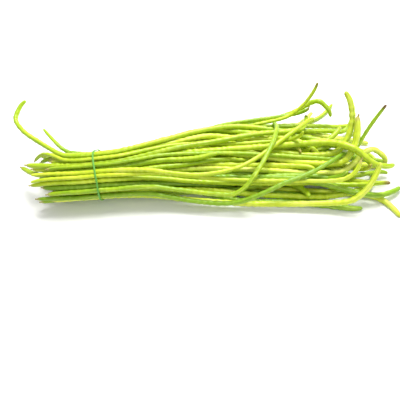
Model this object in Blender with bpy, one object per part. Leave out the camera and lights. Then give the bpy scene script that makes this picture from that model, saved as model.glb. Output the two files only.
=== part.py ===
"""A bunch of yardlong beans, tied with one elastic band and lying on a flat surface.

The sheaf lies along X. Its stalk ends are at -X, where the band holds it, and its tips fan out
towards +X. Every pod is one solid: a cut stalk, a shoulder, a long slender body and a tapered
tip. The pods lie on and beside one another without meeting, and the lowest rest on z = 0.

Sizes are in metres, +Z is up, and the origin is under the middle of the bunch.
"""

import math
from dataclasses import dataclass

import bpy
import numpy as np

# Driving dimensions
POD_COUNT = 59
POD_RADIUS = (0.0030, 0.0047)
POD_UNEVEN = 0.0003
SHORT_PODS = 6
REACH_OF_SHORT = (0.150, 0.290)
BAND_WIDTH = 0.0024
BAND_THICKNESS = 0.0013
GAP = 0.00048
SEED = 11

# The pods run straight and side by side for this far on each side of the band's middle.
TIE_HALF = 0.014
TIE_HEIGHT = 0.066
TIE_HALF_WIDTH = 0.038

# How far the band's front has ridden towards the tips, where on its loop, and how wide a share rides.
BAND_SLIP = 0.0085
BAND_SLIP_AT = math.radians(150)
BAND_SLIP_SPREAD = 0.95
BAND_SLIP_POWER = 1.5
BAND_STATIONS = 56

# How far the band stays off the pods, and the points round each pod that its outline is drawn from.
BAND_CLEAR = 0.001
OUTLINE_POINTS = 24

# Packing the tie: turns in all, the turns that draw the pods together and how much each draws
# them across and down, the gap they keep, and how much of an overlap a turn takes back.
TIE_TURNS = 1100
TIE_DRAWN_FOR = 700
TIE_DRAW = (0.006, 0.011)
TIE_GAP = GAP * 1.15
TIE_PUSH = 0.35

# A pod's cross-section, and how it meets the surface: the height of its line over its radius
# where it rests, and the height under which a corner is flattened onto the surface.
SIDES = 6
SEAT = 0.93
SEAT_SNAP = 0.0011
PEAK = 0.5
PEAK_LOWEST = 0.0006

# Share of the full radius at distances from the stalk's cut end, and from the tip.
STALK_PROFILE = ((0.0, 0.36), (0.0032, 0.33), (0.0064, 0.72), (0.014, 0.92), (0.028, 1.0))
TIP_PROFILE = ((0.0, 0.44), (0.0040, 0.67), (0.0125, 0.84), (0.030, 0.94), (0.062, 1.0))
END_RINGS = 4


@dataclass(frozen=True)
class Side:
    """How the pods leave the band on one side, in metres, with slopes for the bends of their ends."""

    direction: int
    reach: tuple
    join: float
    curl: float
    rise: tuple
    bend_over: tuple


# A straying pod leaves the others at join. A slope is metres across for each metre along.
TIPS = Side(1, reach=(0.300, 0.412), join=0.085, curl=0.75, rise=(-0.05, 0.75), bend_over=(0.04, 0.11))
STALKS = Side(-1, reach=(0.054, 0.098), join=0.028, curl=0.30, rise=(-0.25, 0.15), bend_over=(0.03, 0.06))

# The fan beyond the band: distance from it, middle of the fan, half its width.
FAN = (
    (0.000, 0.000, 0.034),
    (0.030, 0.018, 0.046),
    (0.093, 0.026, 0.064),
    (0.155, 0.026, 0.075),
    (0.246, 0.010, 0.080),
    (0.292, 0.003, 0.084),
    (0.338, -0.003, 0.090),
    (0.400, -0.012, 0.096),
)

# How the fan's pods change lanes, as shares of its half width, and how each one weaves.
MIXING = 0.62
MIXED_OVER = (0.02, 0.30)
WEAVE = (0.03, 0.12)
WEAVE_LENGTH = (0.11, 0.24)
WEAVE_FROM = 0.06

# How a pod's slope follows what pulls it: to its lane within this distance, no steeper than this,
# down as it sinks, and out and up on the stalks' side.
LANE_PULL = 0.035
LANE_SLOPE = 0.45
SINK_SLOPE = 0.16
STALK_SPREAD = 0.04
STALK_LEAN = 0.10
STALK_SPLAY = 0.6
STALK_LIFT = 0.04
OWN_PULL = 0.020
OWN_SLOPE = 0.45
STEEPEST = 0.6
STIFFNESS = 0.8

# The lowest stalks reach this share as far as the highest, up to this share of the tie's height.
LOW_STALKS = 0.85
LOW_STALKS_TO = 0.7

# A pod's end bends with this gentle a start, this far past its reach, and gives up this share
# of its other pulls.
BEND_EASE = 1.3
BENT_MOST = 1.2
BEND_TAKES = 0.8

# Making room in a cross-section: turns, how much of an overlap with a sheaf pod and with a
# straying one a turn takes back, and how near along X a straying pod counts.
ROW_TURNS = 24
ROW_PUSH = 0.38
STRAY_PUSH = 0.7
STRAY_NEAR = 0.010

# A straying pod leaves the tie straight for this far, and eases back to its own line over this.
STRAY_STRAIGHT = 0.010
REJOIN_OVER = 0.06

# The last stretch of a pod curls more where it lies on top of the others.
TIP_ON_TOP = (0.012, 0.020)
TIP_TURN = (0.9, 2.2)
TURN_MOST = 1.3
TIP_LIFT = 1.8

# Colours, as linear red, green and blue, how far a pod is lighter or darker, and finishes.
GREEN_POD = (0.30, 0.52, 0.06)
YELLOW_POD = (0.52, 0.64, 0.08)
GREEN_ELASTIC = (0.08, 0.36, 0.09)
POD_LIGHT = (0.85, 1.1)
POD_ROUGHNESS = 0.45
ELASTIC_ROUGHNESS = 0.55
SHARP_ANGLE = math.radians(75)

# Step along a pod's line, then the spacing of its rings in metres and in radians of bend, and
# how far those of its end stay from the tie.
STEP = 0.004
RING_STEP = 0.040
RING_BEND = math.radians(18.5)
RING_CLEAR = 0.008

# Settling: turns that let the pods down, turns that clear their touches, the drop in a turn,
# where the drop starts beyond the band, how near two pods are watched, when they are clear, and
# how often, in turns, their neighbours are looked for and their bends are drawn back.
SETTLE_TURNS = 260
LOOSEN_TURNS = 60
CLEAR_TURNS = 1500
FALL = 0.0003
FALL_FROM = (0.04, 0.10)
WATCHED = 0.003
CLEAR_ENOUGH = 0.93
WATCH_EVERY = 12
UNBEND_EVERY = 4

# How strongly a turn draws a pod back to its bend, while it settles and while it clears, and to
# its length, how stiff a pod is, and the least that a pushed stretch counts as free.
SETTLE_BEND = 0.6
CLEAR_BEND = 0.25
LENGTH_SHARE = 0.9
STRAY_STIFF = 1.0
POD_STIFF = 0.6
PULL_LEAST = 0.3

# A straying pod's rings above this height that rise outwards this steeply don't sink.
STANDING_ABOVE = 0.044
STANDING_SLOPE = 0.25

# Guards against dividing by nothing.
TINY = 1e-9
NEARLY_PARALLEL = 1e-6

# Pods that stray from the sheaf: where each crosses the tie (y, z), and its way on from there
# as points (x, y, z) from under the band. A way with negative x is on the stalks' side.
STRAYS = {
    "curl_left": ((0.012, 0.066), "tip", (
        (-0.050, 0.016, 0.069), (-0.071, 0.027, 0.073), (-0.090, 0.040, 0.077),
        (-0.106, 0.051, 0.081), (-0.117, 0.062, 0.085), (-0.125, 0.073, 0.089),
        (-0.127, 0.084, 0.093), (-0.124, 0.094, 0.097), (-0.119, 0.101, 0.100),
        (-0.112, 0.105, 0.103))),
    "thin_left": ((0.030, 0.052), "tip", (
        (-0.034, 0.037, 0.057), (-0.048, 0.041, 0.060), (-0.059, 0.046, 0.063),
        (-0.069, 0.054, 0.066), (-0.079, 0.063, 0.068), (-0.091, 0.075, 0.070))),
    "long_stalk": ((-0.012, 0.050), "stalk", (
        (-0.052, -0.007, 0.048), (-0.081, -0.002, 0.044), (-0.107, 0.010, 0.041),
        (-0.121, 0.020, 0.040), (-0.132, 0.026, 0.040))),
    "arch_left": ((0.002, 0.068), "stalk", (
        (-0.040, 0.012, 0.068), (-0.060, 0.023, 0.069), (-0.077, 0.029, 0.065),
        (-0.092, 0.030, 0.057), (-0.105, 0.027, 0.047))),
    "spear_back": ((0.036, 0.040), "tip", (
        (0.050, 0.054, 0.046), (0.130, 0.078, 0.042), (0.220, 0.076, 0.042),
        (0.280, 0.078, 0.044), (0.300, 0.079, 0.049), (0.314, 0.081, 0.058),
        (0.325, 0.083, 0.070), (0.331, 0.084, 0.081), (0.335, 0.085, 0.092))),
    "spear_middle": ((0.014, 0.040), "tip", (
        (0.090, 0.040, 0.040), (0.190, 0.040, 0.040), (0.280, 0.008, 0.040),
        (0.338, -0.005, 0.042), (0.358, 0.004, 0.052), (0.366, 0.018, 0.066),
        (0.367, 0.031, 0.080), (0.364, 0.040, 0.090), (0.357, 0.048, 0.097))),
    "spear_far": ((-0.004, 0.060), "tip", (
        (0.100, 0.010, 0.056), (0.200, 0.006, 0.050), (0.290, -0.012, 0.046),
        (0.345, -0.018, 0.040), (0.366, -0.010, 0.050), (0.378, 0.004, 0.065),
        (0.391, 0.015, 0.081), (0.403, 0.021, 0.098))),
    "thick_up": ((0.006, 0.034), "stalk", (
        (0.100, 0.028, 0.036), (0.200, 0.018, 0.036), (0.290, -0.012, 0.040),
        (0.345, -0.022, 0.044), (0.364, -0.012, 0.052), (0.371, 0.006, 0.064),
        (0.369, 0.024, 0.078))),
    "loop_right": ((-0.010, 0.036), "tip", (
        (0.110, 0.000, 0.026), (0.230, -0.012, 0.026), (0.330, -0.026, 0.028),
        (0.360, -0.018, 0.036), (0.372, -0.010, 0.046), (0.381, -0.007, 0.053),
        (0.391, -0.007, 0.055), (0.400, -0.011, 0.051), (0.405, -0.015, 0.044),
        (0.407, -0.018, 0.036))),
    "cross_low": ((-0.034, 0.046), "tip", (
        (0.060, -0.036, 0.046), (0.130, -0.044, 0.046), (0.180, -0.054, 0.048),
        (0.202, -0.057, 0.050), (0.225, -0.046, 0.055), (0.247, -0.019, 0.058),
        (0.263, 0.011, 0.058), (0.270, 0.039, 0.055), (0.270, 0.062, 0.050),
        (0.264, 0.078, 0.042))),
    "cross_middle": ((-0.037, 0.034), "tip", (
        (0.060, -0.040, 0.034), (0.140, -0.053, 0.032), (0.190, -0.062, 0.034),
        (0.218, -0.063, 0.042), (0.240, -0.060, 0.050), (0.268, -0.051, 0.057),
        (0.296, -0.042, 0.058), (0.324, -0.028, 0.060), (0.353, -0.008, 0.062))),
    "cross_high": ((-0.016, 0.066), "stalk", (
        (0.070, -0.022, 0.064), (0.150, -0.028, 0.060), (0.210, -0.022, 0.060),
        (0.245, -0.004, 0.054), (0.270, 0.014, 0.052), (0.298, 0.034, 0.054),
        (0.318, 0.051, 0.057), (0.328, 0.064, 0.056))),
    "bent_end": ((-0.024, 0.060), "stalk", (
        (0.100, -0.020, 0.056), (0.200, -0.030, 0.050), (0.287, -0.042, 0.050),
        (0.328, -0.050, 0.050), (0.349, -0.051, 0.051), (0.362, -0.045, 0.055),
        (0.369, -0.034, 0.062))),
    "hook_front": ((-0.035, 0.026), "tip", (
        (0.100, -0.042, 0.028), (0.220, -0.060, 0.030), (0.319, -0.074, 0.034),
        (0.350, -0.079, 0.038), (0.368, -0.072, 0.044), (0.379, -0.062, 0.052),
        (0.389, -0.047, 0.062))),
    "edge_right": ((0.004, 0.052), "tip", (
        (0.120, 0.014, 0.050), (0.240, 0.020, 0.050), (0.330, 0.014, 0.056),
        (0.363, -0.006, 0.058), (0.383, -0.024, 0.046), (0.402, -0.032, 0.042),
        (0.420, -0.026, 0.040))),
    "arc_back": ((0.030, 0.022), "tip", (
        (0.100, 0.062, 0.030), (0.200, 0.086, 0.032), (0.270, 0.094, 0.034),
        (0.300, 0.097, 0.041), (0.318, 0.098, 0.052), (0.330, 0.097, 0.061),
        (0.339, 0.093, 0.064), (0.347, 0.088, 0.061), (0.352, 0.083, 0.053),
        (0.355, 0.080, 0.043))),
}

# The straying pods that are thicker or thinner than their place in the tie gives them, as shares.
OWN_GIRTH = {"curl_left": 1.05, "thin_left": 0.9, "spear_far": 0.85, "spear_back": 0.88, "loop_right": 0.88}


def unit(vector):
    """The vector, or each row of an array of them, at length 1."""
    return vector / np.maximum(np.linalg.norm(vector, axis=-1, keepdims=True), TINY)


def eased(share):
    """0 to 1 with a gentle start and end."""
    share = np.clip(share, 0, 1)
    return share * share * (3 - 2 * share)


def settled(places):
    """The places to the nearest thousandth of a millimetre, so that every computer makes the same bunch."""
    return np.round(places, 6)


def smooth_curve(points, step=STEP):
    """A dense line through the points, at even spacing along it (Catmull-Rom)."""
    points = np.array(points, float)
    ends = [2 * points[0] - points[1]], [2 * points[-1] - points[-2]]
    knots = np.concatenate([ends[0], points, ends[1]])
    dense = []
    for a, b, c, d in zip(knots, knots[1:], knots[2:], knots[3:]):
        count = max(2, int(np.linalg.norm(c - b) / step) * 2)
        t = np.linspace(0, 1, count, endpoint=False)[:, None]
        dense.append(0.5 * (2 * b + (c - a) * t + (2 * a - 5 * b + 4 * c - d) * t**2
                            + (3 * b - a - 3 * c + d) * t**3))
    return even_line(np.concatenate([*dense, points[-1:]]), step)


def travelled(line):
    """The distance along the line at each of its points."""
    return np.concatenate([[0], np.cumsum(np.linalg.norm(np.diff(line, axis=0), axis=1))])


def read_line(line, places):
    """The points at these distances along the line."""
    along = travelled(line)
    return np.stack([np.interp(places, along, line[:, k]) for k in range(3)], axis=1)


def even_line(line, step=STEP):
    """The same line with its points evenly spaced."""
    length = travelled(line)[-1]
    return read_line(line, np.linspace(0, length, max(2, round(length / step)) + 1))


def turned_end(line, reach, turn, lift):
    """The line with its last stretch turned aside and lifted more and more, as a drying tip curls."""
    steps = np.diff(line, axis=0)
    left = travelled(line)[-1] - travelled(line)[:-1]
    share = np.clip(1 - left / reach, 0, 1) ** BEND_EASE
    length = np.linalg.norm(steps, axis=1)
    heading = np.arctan2(steps[:, 1], steps[:, 0]) + turn * share
    slope = np.arcsin(np.clip(steps[:, 2] / length, -1, 1)) + lift * share
    level = np.cos(slope)
    steps = np.stack([level * np.cos(heading), level * np.sin(heading), np.sin(slope)], axis=1)
    return np.concatenate([line[:1], line[0] + np.cumsum(steps * length[:, None], axis=0)])


def tie_section(radii):
    """Where the pods cross the tie, as (y, z): discs drawn together and pushed clear of each other."""
    count = len(radii)
    turn = math.pi * (3 - math.sqrt(5))
    rank = (np.arange(count) + 0.5) / count
    spiral = np.sqrt(rank) * np.exp(1j * turn * np.arange(count))
    places = np.stack([spiral.real * TIE_HALF_WIDTH, spiral.imag * TIE_HEIGHT / 2], axis=1)
    low = radii + BAND_THICKNESS + 3 * GAP
    middle = np.array([0, TIE_HEIGHT / 2])
    places += middle
    reach = radii[:, None] + radii[None, :] + TIE_GAP
    for turn in range(TIE_TURNS):
        if turn < TIE_DRAWN_FOR:
            places += (middle - places) * TIE_DRAW
        offset = places[:, None] - places[None, :]
        apart = np.linalg.norm(offset, axis=2) + np.eye(count)
        push = np.clip(reach - apart, 0, None) * (1 - np.eye(count))
        places += (offset / apart[..., None] * push[..., None]).sum(1) * TIE_PUSH
        places[:, 1] = np.maximum(places[:, 1], low)
        places = settled(places)
    return places


def smoothed(rows, reach=3):
    """The rows averaged with their neighbours, the first row kept."""
    weights = np.exp(-0.5 * (np.arange(-2 * reach, 2 * reach + 1) / reach) ** 2)
    weights /= weights.sum()
    before = 2 * rows[0] - rows[2 * reach:0:-1]
    after = 2 * rows[-1] - rows[-2:-2 * reach - 2:-1]
    padded = np.concatenate([before, rows, after])
    return sum(w * padded[k:k + len(rows)] for k, w in enumerate(weights))


def make_room(places, size, present, x, strays):
    """Pushes the discs of one cross-section apart, off the surface and off the straying pods."""
    reach = size[:, None] + size[None, :]
    pairs = present[:, None] & present[None, :] & ~np.eye(len(size), dtype=bool)
    near = strays[np.abs(strays[:, 0] - x) < STRAY_NEAR]
    for _ in range(ROW_TURNS):
        offset = places[:, None] - places[None, :]
        apart = np.linalg.norm(offset, axis=2) + TINY
        push = np.where(pairs, np.clip(reach - apart, 0, None), 0)
        places = places + (offset / apart[..., None] * push[..., None]).sum(1) * ROW_PUSH
        if len(near):
            offset = places[:, None] - near[None, :, 1:3]
            flat = np.linalg.norm(offset, axis=2) + TINY
            apart = np.hypot(flat, near[:, 0] - x)
            push = np.clip(size[:, None] + near[:, 3] - apart, 0, None) * present[:, None]
            worst = push.argmax(1)
            rows = np.arange(len(size))
            places = places + (offset / flat[..., None] * push[..., None])[rows, worst] * STRAY_PUSH
        places[:, 1] = np.maximum(places[:, 1], size * SEAT)
    return places


class Flow:
    """The pods' ways out from the band on one side, as their cross-sections carried along step by step.

    Towards the tips the pods spread into the fan and sink, and the stalks stand out stiffly. At each
    step every pod leans towards its own lane, and those that would meet make room for each other.
    A straying pod leaves the others at the side's join and then keeps to its own line, and the
    others flow round it.
    """

    def __init__(self, rng, section, radii, strays, side):
        self.side, self.section = side, section
        self.size = radii + GAP / 2
        self.across = section[:, 0] / TIE_HALF_WIDTH
        self.own = {k: line for k, line in strays.items() if line[-1, 0] * side.direction > 0}
        count = len(section)
        self.reach = rng.uniform(*side.reach, count)
        if side is TIPS:
            self.reach[rng.permutation(count)[:SHORT_PODS]] = rng.uniform(*REACH_OF_SHORT, SHORT_PODS)
        else:
            self.reach *= LOW_STALKS + (1 - LOW_STALKS) * eased(section[:, 1] / TIE_HEIGHT / LOW_STALKS_TO)
        order = np.argsort(np.argsort(self.across + rng.normal(0, MIXING, count)))
        self.drift = (2 * order + 1) / count - 1 - self.across
        self.weave, self.weave_length, self.weave_start = (
            rng.uniform(*span, count) for span in (WEAVE, WEAVE_LENGTH, (0, 2 * math.pi)))
        self.curl = rng.normal(0, side.curl, count)
        self.rise = rng.uniform(*side.rise, count)
        self.bend_over = rng.uniform(*side.bend_over, count)

    def pull(self, places, d):
        """The slope that each pod would take at this distance from the band."""
        if self.side is TIPS:
            stations = np.array(FAN)
            middle, half = (np.interp(d, stations[:, 0], stations[:, k]) for k in (1, 2))
            lane = self.across + self.drift * eased((d - MIXED_OVER[0]) / MIXED_OVER[1])
            phase = 2 * math.pi * d / self.weave_length + self.weave_start
            lane = lane + self.weave * np.sin(phase) * eased(d / WEAVE_FROM)
            slope = np.clip((middle + half * lane - places[:, 0]) / LANE_PULL, -LANE_SLOPE, LANE_SLOPE)
            pull = np.stack([slope, np.full(len(places), -SINK_SLOPE)], axis=1)
        else:
            lean = self.across * STALK_SPREAD + STALK_LEAN
            splay = (places[:, 1] - TIE_HEIGHT / 2) * STALK_SPLAY + STALK_LIFT
            pull = np.stack([lean, splay], axis=1)
        turn = np.clip((d - self.reach + self.bend_over) / self.bend_over, 0, BENT_MOST) ** BEND_EASE
        kept = 1 - BEND_TAKES * np.minimum(turn, 1)
        pull = pull * kept[:, None] + np.stack([self.curl, self.rise], axis=1) * turn[:, None]
        for k, line in self.own.items():
            x = self.side.direction * (TIE_HALF + d)
            pull[k] = np.clip((way_at(line, x) - places[k]) / OWN_PULL, -OWN_SLOPE, OWN_SLOPE)
        return pull

    def rows(self):
        """Every pod's (y, z) at each step from the band."""
        places, slope = self.section.copy(), np.zeros_like(self.section)
        rows, left = [places], {}
        for d in np.arange(STEP, self.reach.max() + STEP, STEP):
            x = self.side.direction * (TIE_HALF + d)
            slope = slope * STIFFNESS + self.pull(places, d) * (1 - STIFFNESS)
            present = self.reach > d - STEP
            present[list(self.own)] = d <= self.side.join
            if not left and d > self.side.join:
                before = x - self.side.direction * STEP
                left = {k: rejoined(line, places[k], before) for k, line in self.own.items()}
            blocks = [np.column_stack([line, np.full(len(line), self.size[k])]) for k, line in left.items()]
            near = np.concatenate([np.zeros((0, 4)), *blocks])
            moved = settled(make_room(places + slope * STEP, self.size, present, x, near))
            slope = np.clip((moved - places) / STEP, -STEEPEST, STEEPEST)
            rows.append(moved)
            places = moved
        return smoothed(np.stack(rows))

    def lines(self):
        """Every pod's line on this side, from the edge of the tie to its end."""
        rows, lines = self.rows(), {}
        for k in range(len(self.section)):
            steps = int((self.side.join if k in self.own else self.reach[k]) / STEP) + 1
            x = self.side.direction * (TIE_HALF + STEP * np.arange(steps))
            line = np.column_stack([x, rows[:steps, k]])
            if k in self.own:
                line = np.concatenate([line, rejoined(self.own[k], line[-1, 1:], x[-1])])
            elif self.side is TIPS:
                line = self.curled(k, line)
            lines[k] = line
        return lines

    def curled(self, k, line):
        """A pod's line with its tip curled, more where it lies on top."""
        on_top = eased((line[-1, 2] - TIP_ON_TOP[0]) / TIP_ON_TOP[1])
        lift = self.rise[k] * TIP_LIFT * on_top if self.reach[k] > REACH_OF_SHORT[1] else 0
        turn = self.curl[k] * (TIP_TURN[0] + TIP_TURN[1] * on_top)
        return turned_end(line, self.bend_over[k], np.clip(turn, -TURN_MOST, TURN_MOST), lift)


def way_at(line, x):
    """Where a straying pod's line first comes to x, as (y, z)."""
    k = int(np.argmax(np.abs(line[:, 0]) >= abs(x)))
    return line[k, 1:] if abs(line[k, 0]) >= abs(x) else line[-1, 1:]


def rejoined(line, place, x):
    """The part of a straying pod's line past x, shifted to start at a place and easing back to its own."""
    start = int(np.argmax(np.abs(line[:, 0]) >= abs(x) + STEP / 2))
    rest = line[start:].copy()
    away = np.abs(rest[:, 0] - x)
    rest[:, 1:] += (place - way_at(line, x)) * (1 - eased(away / REJOIN_OVER))[:, None]
    return rest


def stray_side(slot, points):
    """A straying pod's way out from the band, through its own points."""
    y, z = slot
    direction = math.copysign(1, points[0][0])
    start = [(direction * TIE_HALF, y, z), (direction * (TIE_HALF + STRAY_STRAIGHT), y, z)]
    return smooth_curve(start + list(points))


class Pod:
    """One pod's line from its end at -X to its end at +X, as rings that can be moved."""

    def __init__(self, name, radius, left, right, stalk_left, stray):
        self.name = name
        self.radius = radius
        self.stalk_left = stalk_left
        line = np.concatenate([left[::-1], right])
        self.tie_at = travelled(line)[len(left) - 1]
        self.places = self.ring_places(line)
        self.points = read_line(line, self.places)
        self.length = travelled(line)[-1]
        self.radii = self.profile()
        rise = np.gradient(self.points[:, 2], self.places)
        rising = rise * np.sign(self.points[:, 0]) > STANDING_SLOPE
        standing = rising & (self.points[:, 2] > STANDING_ABOVE)
        self.weight = np.where(standing & stray, 0.0, 1.0)
        self.stiff = STRAY_STIFF if stray else POD_STIFF

    def ring_places(self, line):
        """Distances along the pod: close at its ends and bends, wide where it runs straight."""
        length = travelled(line)[-1]
        first, last = (STALK_PROFILE, TIP_PROFILE) if self.stalk_left else (TIP_PROFILE, STALK_PROFILE)
        near = [d for d, _ in first[:END_RINGS]]
        far = [length - d for d, _ in last[:END_RINGS]][::-1]
        knots = [self.tie_at, self.tie_at + 2 * TIE_HALF]
        near = [d for d in near if d < knots[0] - RING_CLEAR]
        places = [*near, *self.spread(line, near[-1], knots[0]), *knots,
                  *self.spread(line, knots[1], far[0]), *far]
        return np.array(places)

    @staticmethod
    def spread(line, start, end):
        """Distances between start and end, closer together where the line bends."""
        along = travelled(line)
        heading = unit(np.diff(line, axis=0))
        bend = np.concatenate([[0], np.arccos(np.clip((heading[1:] * heading[:-1]).sum(1), -1, 1)), [0]])
        effort = np.cumsum(np.gradient(along) / RING_STEP + bend / RING_BEND)
        low, high = np.interp([start, end], along, effort)
        count = max(1, math.ceil(high - low))
        marks = low + (high - low) * np.arange(1, count) / count
        return list(np.interp(marks, effort, along))

    def profile(self):
        """The radius at each ring."""
        stalk, tip = np.array(STALK_PROFILE), np.array(TIP_PROFILE)
        from_left, from_right = self.places, self.length - self.places
        from_stalk, from_tip = (from_left, from_right) if self.stalk_left else (from_right, from_left)
        share = np.minimum(np.interp(from_stalk, *stalk.T), np.interp(from_tip, *tip.T))
        return self.radius * share


def touch_radii(pod):
    """The room each ring needs, which near the shoulder is the widest of its neighbours'."""
    padded = np.concatenate([pod.radii[:1], pod.radii, pod.radii[-1:]])
    return np.maximum(np.maximum(padded[:-2], padded[1:-1]), padded[2:]) * 0.5 + pod.radii * 0.5


def closest(a0, a1, b0, b1):
    """Where pairs of straight stretches come closest: the share along each."""
    da, db, r = a1 - a0, b1 - b0, a0 - b0
    aa, bb, ab = (da * da).sum(1), (db * db).sum(1), (da * db).sum(1)
    ar, br = (da * r).sum(1), (db * r).sum(1)
    flat = aa * bb - ab * ab
    crossing = flat > NEARLY_PARALLEL * aa * bb
    s = np.where(crossing, (ab * br - ar * bb) / np.maximum(flat, TINY ** 2), 0.5)
    s = np.clip(s, 0, 1)
    t = np.clip((ab * s + br) / bb, 0, 1)
    s = np.clip((ab * t - ar) / aa, 0, 1)
    return s, t


class Sheaf:
    """All the pods together, with what keeps each one's length and bend while they settle."""

    def __init__(self, pods):
        self.pods = pods
        starts = np.cumsum([0] + [len(p.points) for p in pods])
        self.slices = [slice(a, b) for a, b in zip(starts, starts[1:])]
        self.points = np.concatenate([p.points for p in pods])
        self.room = np.concatenate([touch_radii(p) for p in pods])
        self.weight = np.concatenate([p.weight for p in pods])
        self.stiff = np.concatenate([np.full(len(p.points), p.stiff) for p in pods])
        self.free = np.ones(len(self.points))
        for pod, part in zip(pods, self.slices):
            held = np.abs(pod.points[:, 0]) <= TIE_HALF + TINY
            self.free[part][held] = 0.0
        index = np.arange(starts[-1])
        inner = np.ones(starts[-1], bool)
        inner[starts[1:] - 1] = False
        self.first = index[inner]
        self.owner = np.repeat(np.arange(len(pods)), np.diff(starts))[self.first]
        self.rest = np.linalg.norm(self.points[self.first + 1] - self.points[self.first], axis=1)
        middle = inner.copy()
        middle[starts[:-1]] = False
        self.middle = index[middle]
        before, after = self.points[self.middle - 1], self.points[self.middle + 1]
        self.bend = before + after - 2 * self.points[self.middle]

    def neighbours(self, margin):
        """Pairs of stretches on different pods that are near enough to touch soon."""
        a, b = self.points[self.first], self.points[self.first + 1]
        centre, half = (a + b) / 2, np.linalg.norm(b - a, axis=1) / 2
        half = half + self.room[self.first] + margin
        gap = np.linalg.norm(centre[:, None] - centre[None, :], axis=2)
        near = gap < half[:, None] + half[None, :]
        near &= self.owner[:, None] < self.owner[None, :]
        pairs = np.nonzero(near)
        close = self.clearances(pairs)[0] < margin
        return pairs[0][close], pairs[1][close]

    def clearances(self, pairs):
        """How far apart the surfaces of the paired stretches are, and how to move them apart."""
        i, j = self.first[pairs[0]], self.first[pairs[1]]
        s, t = closest(self.points[i], self.points[i + 1], self.points[j], self.points[j + 1])
        s, t = s[:, None], t[:, None]
        offset = (self.points[i] * (1 - s) + self.points[i + 1] * s
                  - self.points[j] * (1 - t) - self.points[j + 1] * t)
        apart = np.linalg.norm(offset, axis=1)
        room = (self.room[i] * (1 - s[:, 0]) + self.room[i + 1] * s[:, 0]
                + self.room[j] * (1 - t[:, 0]) + self.room[j + 1] * t[:, 0])
        return apart - room, unit(offset), i, j, s[:, 0], t[:, 0]

    def push_apart(self, pairs, gap, share):
        """Moves every two pods that come closer than the gap away from each other."""
        clear, way, i, j, s, t = self.clearances(pairs)
        close = clear < gap
        clear, way, i, j, s, t = (x[close] for x in (clear, way, i, j, s, t))
        total, hits = np.zeros_like(self.points), np.zeros(len(self.points))
        ends = ((i, 1 - s, 1), (i + 1, s, 1), (j, 1 - t, -1), (j + 1, t, -1))
        pull = np.maximum(sum(w * w * self.free[k] for k, w, _ in ends), PULL_LEAST)
        for k, w, sign in ends:
            amount = sign * (gap - clear) * w * self.free[k] / pull
            for axis in range(3):
                total[:, axis] += np.bincount(k, amount * way[:, axis], len(self.points))
            hits += np.bincount(k, w, len(self.points))
        self.points += total / np.maximum(hits, 1)[:, None] * share
        return float(clear.min()) if len(clear) else gap

    def keep_bend(self, share):
        """Draws each pod back towards its own bend."""
        m = self.middle
        off = self.points[m - 1] + self.points[m + 1] - 2 * self.points[m] - self.bend
        off *= (share * self.stiff[m])[:, None]
        self.points[m] += off / 4 * self.free[m][:, None]
        self.points[m - 1] -= off / 8 * self.free[m - 1][:, None]
        self.points[m + 1] -= off / 8 * self.free[m + 1][:, None]

    def keep_length(self):
        """Draws the rings of each pod back to their distances, alternate stretches in turn."""
        for turn in (0, 1):
            k = self.first[turn::2]
            along = self.points[k + 1] - self.points[k]
            length = np.linalg.norm(along, axis=1)
            free = self.free[k] + self.free[k + 1] + TINY
            move = ((length - self.rest[turn::2]) / length / free)[:, None] * along
            self.points[k] += move * self.free[k][:, None] * LENGTH_SHARE
            self.points[k + 1] -= move * self.free[k + 1][:, None] * LENGTH_SHARE

    def rest_on_surface(self):
        """Keeps the free rings above the surface."""
        self.points[:, 2] = np.maximum(self.points[:, 2], SEAT * self.room * self.free)

    def settle(self):
        """Lets the pods down onto the surface and each other, then clears the last touches."""
        drop = FALL * self.free * self.weight * eased((self.points[:, 0] - FALL_FROM[0]) / FALL_FROM[1])
        for turn in range(SETTLE_TURNS + CLEAR_TURNS):
            settling = turn < SETTLE_TURNS
            if turn % WATCH_EVERY == 0:
                pairs = self.neighbours(WATCHED)
            if settling and turn > LOOSEN_TURNS:
                self.points[:, 2] -= drop * (1 - turn / SETTLE_TURNS)
            if settling or turn % UNBEND_EVERY == 0:
                self.keep_bend(SETTLE_BEND if settling else CLEAR_BEND)
            self.keep_length()
            worst = self.push_apart(pairs, GAP, 1.0)
            self.rest_on_surface()
            self.points = settled(self.points)
            if not settling and worst > GAP * CLEAR_ENOUGH:
                break
        for pod, part in zip(self.pods, self.slices):
            pod.points = self.points[part].copy()
        return float(self.clearances(self.neighbours(WATCHED))[0].min())


def ring_frames(pod):
    """Each ring's heading, and the two directions across it, carried along without twist."""
    steps = unit(np.diff(pod.points, axis=0))
    heading = unit(np.concatenate([steps[:1], steps[:-1] + steps[1:], steps[-1:]]))
    middle = int(np.argmin(np.abs(pod.points[:, 0])))
    side = np.zeros_like(heading)
    side[middle] = unit(np.cross((0, 0, 1), heading[middle]))
    for order in (range(middle + 1, len(side)), range(middle - 1, -1, -1)):
        previous = side[middle]
        for k in order:
            previous = unit(previous - heading[k] * (previous @ heading[k]))
            side[k] = previous
    return heading, side, np.cross(heading, side)


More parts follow.
